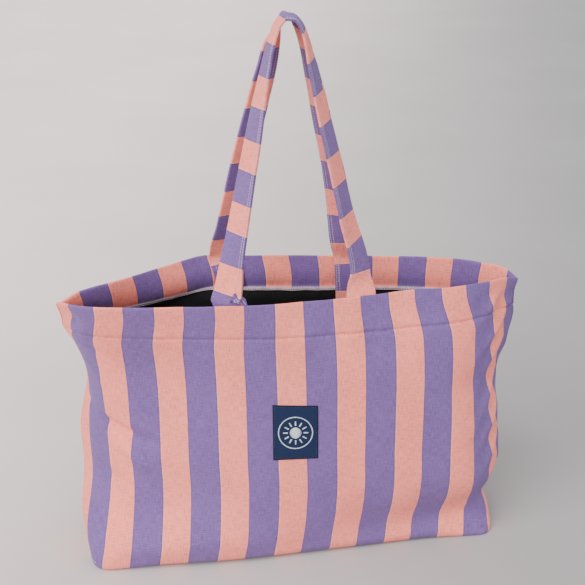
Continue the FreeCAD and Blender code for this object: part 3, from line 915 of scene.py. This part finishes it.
def dress_side(side, wall):
    """The cloth, lining and threads of the front or the back."""
    left, right = wall.ends
    add(canvas_half(side + "_canvas", wall, canvas), (side + "_panel", side + "_hem"))
    add(lining_half(side + "_black_lining", wall, lining_material), (side + "_lining",))
    line = RIM - HEM
    outer = row_on_wall(wall, left + 1, right - 1, line, line, -0.1, STITCH_PITCH, 0.9)
    up = line + 2.5
    inner = row_on_wall(wall, left + 1, right - 1, up, up, -HEM_INSIDE - 0.1, STITCH_PITCH, STITCH_GAP)
    add(stitches(side + "_hem_stitches", *joined([outer, inner]), 0.5, white_thread),
        (side + "_hem_stitching",))
    count = int((right - left) / SERGING_PITCH)
    c = left + 1 + np.arange(count) * SERGING_PITCH
    low = wall.at(c, line + 0.2, -HEM_INSIDE - 0.25)
    high = wall.at(c + 1.6, line + 4.6, -HEM_INSIDE - 0.25)
    edge = wall.at(c + SERGING_PITCH, line + 0.2, -HEM_INSIDE - 0.25)
    away = wall.at(c, line, -HEM_INSIDE - 1.25) - wall.at(c, line, -HEM_INSIDE - 0.25)
    rows = [(low, high, away), (high, edge, away), (low, edge, away)]
    add(stitches(side + "_serged_edge", *joined(rows), THREAD_WIDTH, white_thread),
        (side + "_hem_serging",))


def dress_handle(side, strap, offset, c_ends, tails):
    body = side + "_handle"
    band = strap_mesh(side + "_strap", strap, offset, canvas)
    add(band, (body, side + "_left_strap_end", side + "_right_strap_end"), bend=body)
    rows = stitches(side + "_strap_topstitch", *strap_rows(strap), THREAD_WIDTH, white_thread)
    add(rows, (side + "_handle_stitching",), bend=body)
    wall = strap.wall
    deep = -(HEM_INSIDE + STRAP_GAP + STRAP_THICKNESS + 0.2)
    squares, serged = [], []
    for c, tail in zip(c_ends, tails):
        low, high = RIM - min(tail, HEM) + 4, RIM - 4
        box = [(c - 14, low), (c + 14, low), (c + 14, high), (c - 14, high)]
        for (a, p), (b, q) in zip(box, box[1:] + box[:1]):
            squares.append(row_on_wall(wall, a, b, p, q, deep, STITCH_PITCH, STITCH_GAP))
        count = int(STRAP_WIDTH / STRAP_SERGING_PITCH)
        at = c - STRAP_WIDTH / 2 + np.arange(count) * STRAP_SERGING_PITCH
        start = wall.at(at, RIM - tail - 1.2, deep + 0.2)
        end = wall.at(at + 1.4, RIM - tail + 3.2, deep + 0.2)
        serged.append((start, end, end - wall.at(at + 1.4, RIM - tail + 3.2, deep + 1.2)))
    add(stitches(side + "_strap_end_stitches", *joined(squares), THREAD_WIDTH, white_thread),
        (side + "_strap_end_stitching",))
    add(stitches(side + "_strap_end_overlock", *joined(serged), 0.8, white_thread),
        (side + "_strap_end_serging",))


dress_side("front", front)
dress_side("back", back)

front_strap = Strap(front, (FRONT_CLIMB_LEFT, FRONT_ARCH, FRONT_CLIMB_RIGHT), FRONT_STRAP_C, FRONT_TAILS, -1)
back_strap = Strap(back, (BACK_CLIMB_LEFT, BACK_ARCH, BACK_CLIMB_RIGHT), BACK_STRAP_C, BACK_TAILS, 1)
dress_handle("front", front_strap, -front_strap.above_rim, FRONT_STRAP_C, FRONT_TAILS)
dress_handle("back", back_strap, -back_strap.above_rim + BACK_STRIPE_SHIFT, BACK_STRAP_C, BACK_TAILS)


def side_seam(name, column, node, corner_node):
    """The rolled ridge down a side seam, and the short seam across the corner of the base."""
    k = 0 if column == "left" else -1
    h = heights(10, RIM - 1, 3)
    c_front = front.ends[k]
    spine = front.at(c_front, h)
    outwards = -1.0 if column == "left" else 1.0
    across = np.array([0.0, 1.0, 0.0])
    rows = []
    for angle in np.linspace(0, 2 * math.pi, 9)[:-1]:
        rows.append(
            spine + across * 0.9 * math.cos(angle)
            + np.array([outwards, 0, 0]) * (0.35 * math.sin(angle) - 0.1)
        )
    points = np.stack(rows, axis=1)
    cloth = np.zeros_like(points)
    cloth[..., 0] = c_front
    cloth[..., 1] = h[:, None]
    seam = new_mesh(
        name, points.reshape(-1, 3), grid_faces(len(h), 8, closed=True, flip=column == "left"),
        canvas, cloth.reshape(-1, 3),
    )
    add(seam, (node,))
    rows = []
    for wall in (front, back):
        edge = wall.ends[k]
        inwards = edge - math.copysign(CORNER_SEAM_LENGTH, edge)
        rows.append(row_on_wall(wall, edge, inwards, 13.0, 12.0, 0.1, STITCH_PITCH, STITCH_GAP))
    add(stitches(column + "_corner_stitches", *joined(rows), THREAD_WIDTH, white_thread),
        (corner_node,))


side_seam("left_seam", "left", "left_side_seam", "left_corner_seam")
side_seam("right_seam", "right", "right_side_seam", "right_corner_seam")

base_x = np.arange(-FLOOR_SEAM_REACH, FLOOR_SEAM_REACH, STITCH_PITCH)
base_row = np.stack([base_x, np.full_like(base_x, BASE_MIDDLE_Y), np.full_like(base_x, 0.75)], axis=1)
below = np.tile([0.0, 0.0, -1.0], (len(base_x), 1))
base_seam = stitches("base_seam_stitches", base_row, base_row + [2.5, 0, 0], below, THREAD_WIDTH, white_thread)
add(base_seam, ("base_seam",))

add(label_patch(front, woven_label()), ("label_patch",))
add(stitches("label_sun", *satin(front, sun_rows()), 0.62, silver_thread), ("label_emblem",))
add(stitches("label_stitches", *joined(label_stitch_rows(front)), 0.6, navy_thread),
    ("label_stitching",))


# ------------------------------------------------------------------ floor, light and camera

def studio():
    """A wide, pale floor."""
    rim = [(9000 * math.cos(k * math.pi / 24), 9000 * math.sin(k * math.pi / 24), 0) for k in range(48)]
    new_mesh("studio_floor", rim, [tuple(range(48))], studio_paper())


def sun(name, heading, height, power, softness, colour):
    """Even light from far away. heading 0 comes from the front and 90 from the right."""
    light = bpy.data.lights.new(name, "SUN")
    light.energy = power
    light.angle = math.radians(softness)
    light.color = colour
    holder = bpy.data.objects.new(name, light)
    holder.rotation_euler = (math.radians(90 - height), 0, math.radians(heading))
    bpy.context.scene.collection.objects.link(holder)


studio()
sun("key", -42, 38, 4.2, 50, (1.0, 0.985, 0.965))
sun("fill", 50, 32, 0.7, 80, (0.96, 0.975, 1.0))

world = bpy.data.worlds.new("studio_world")
world.use_nodes = True
world.node_tree.nodes["Background"].inputs[0].default_value = (0.92, 0.92, 0.94, 1)
world.node_tree.nodes["Background"].inputs[1].default_value = 1.08
bpy.context.scene.world = world

CAMERA_PLACE = (-0.1695, -1.410, 0.9391)
CAMERA_YAW = 6.86
CAMERA_DOWN = 23.12
camera = bpy.data.objects.new("camera", bpy.data.cameras.new("camera"))
camera.data.lens = 81.0
camera.data.sensor_width = 36.0
camera.location = CAMERA_PLACE
camera.rotation_euler = (math.radians(90 - CAMERA_DOWN), 0, -math.radians(CAMERA_YAW))
bpy.context.scene.collection.objects.link(camera)
bpy.context.scene.camera = camera
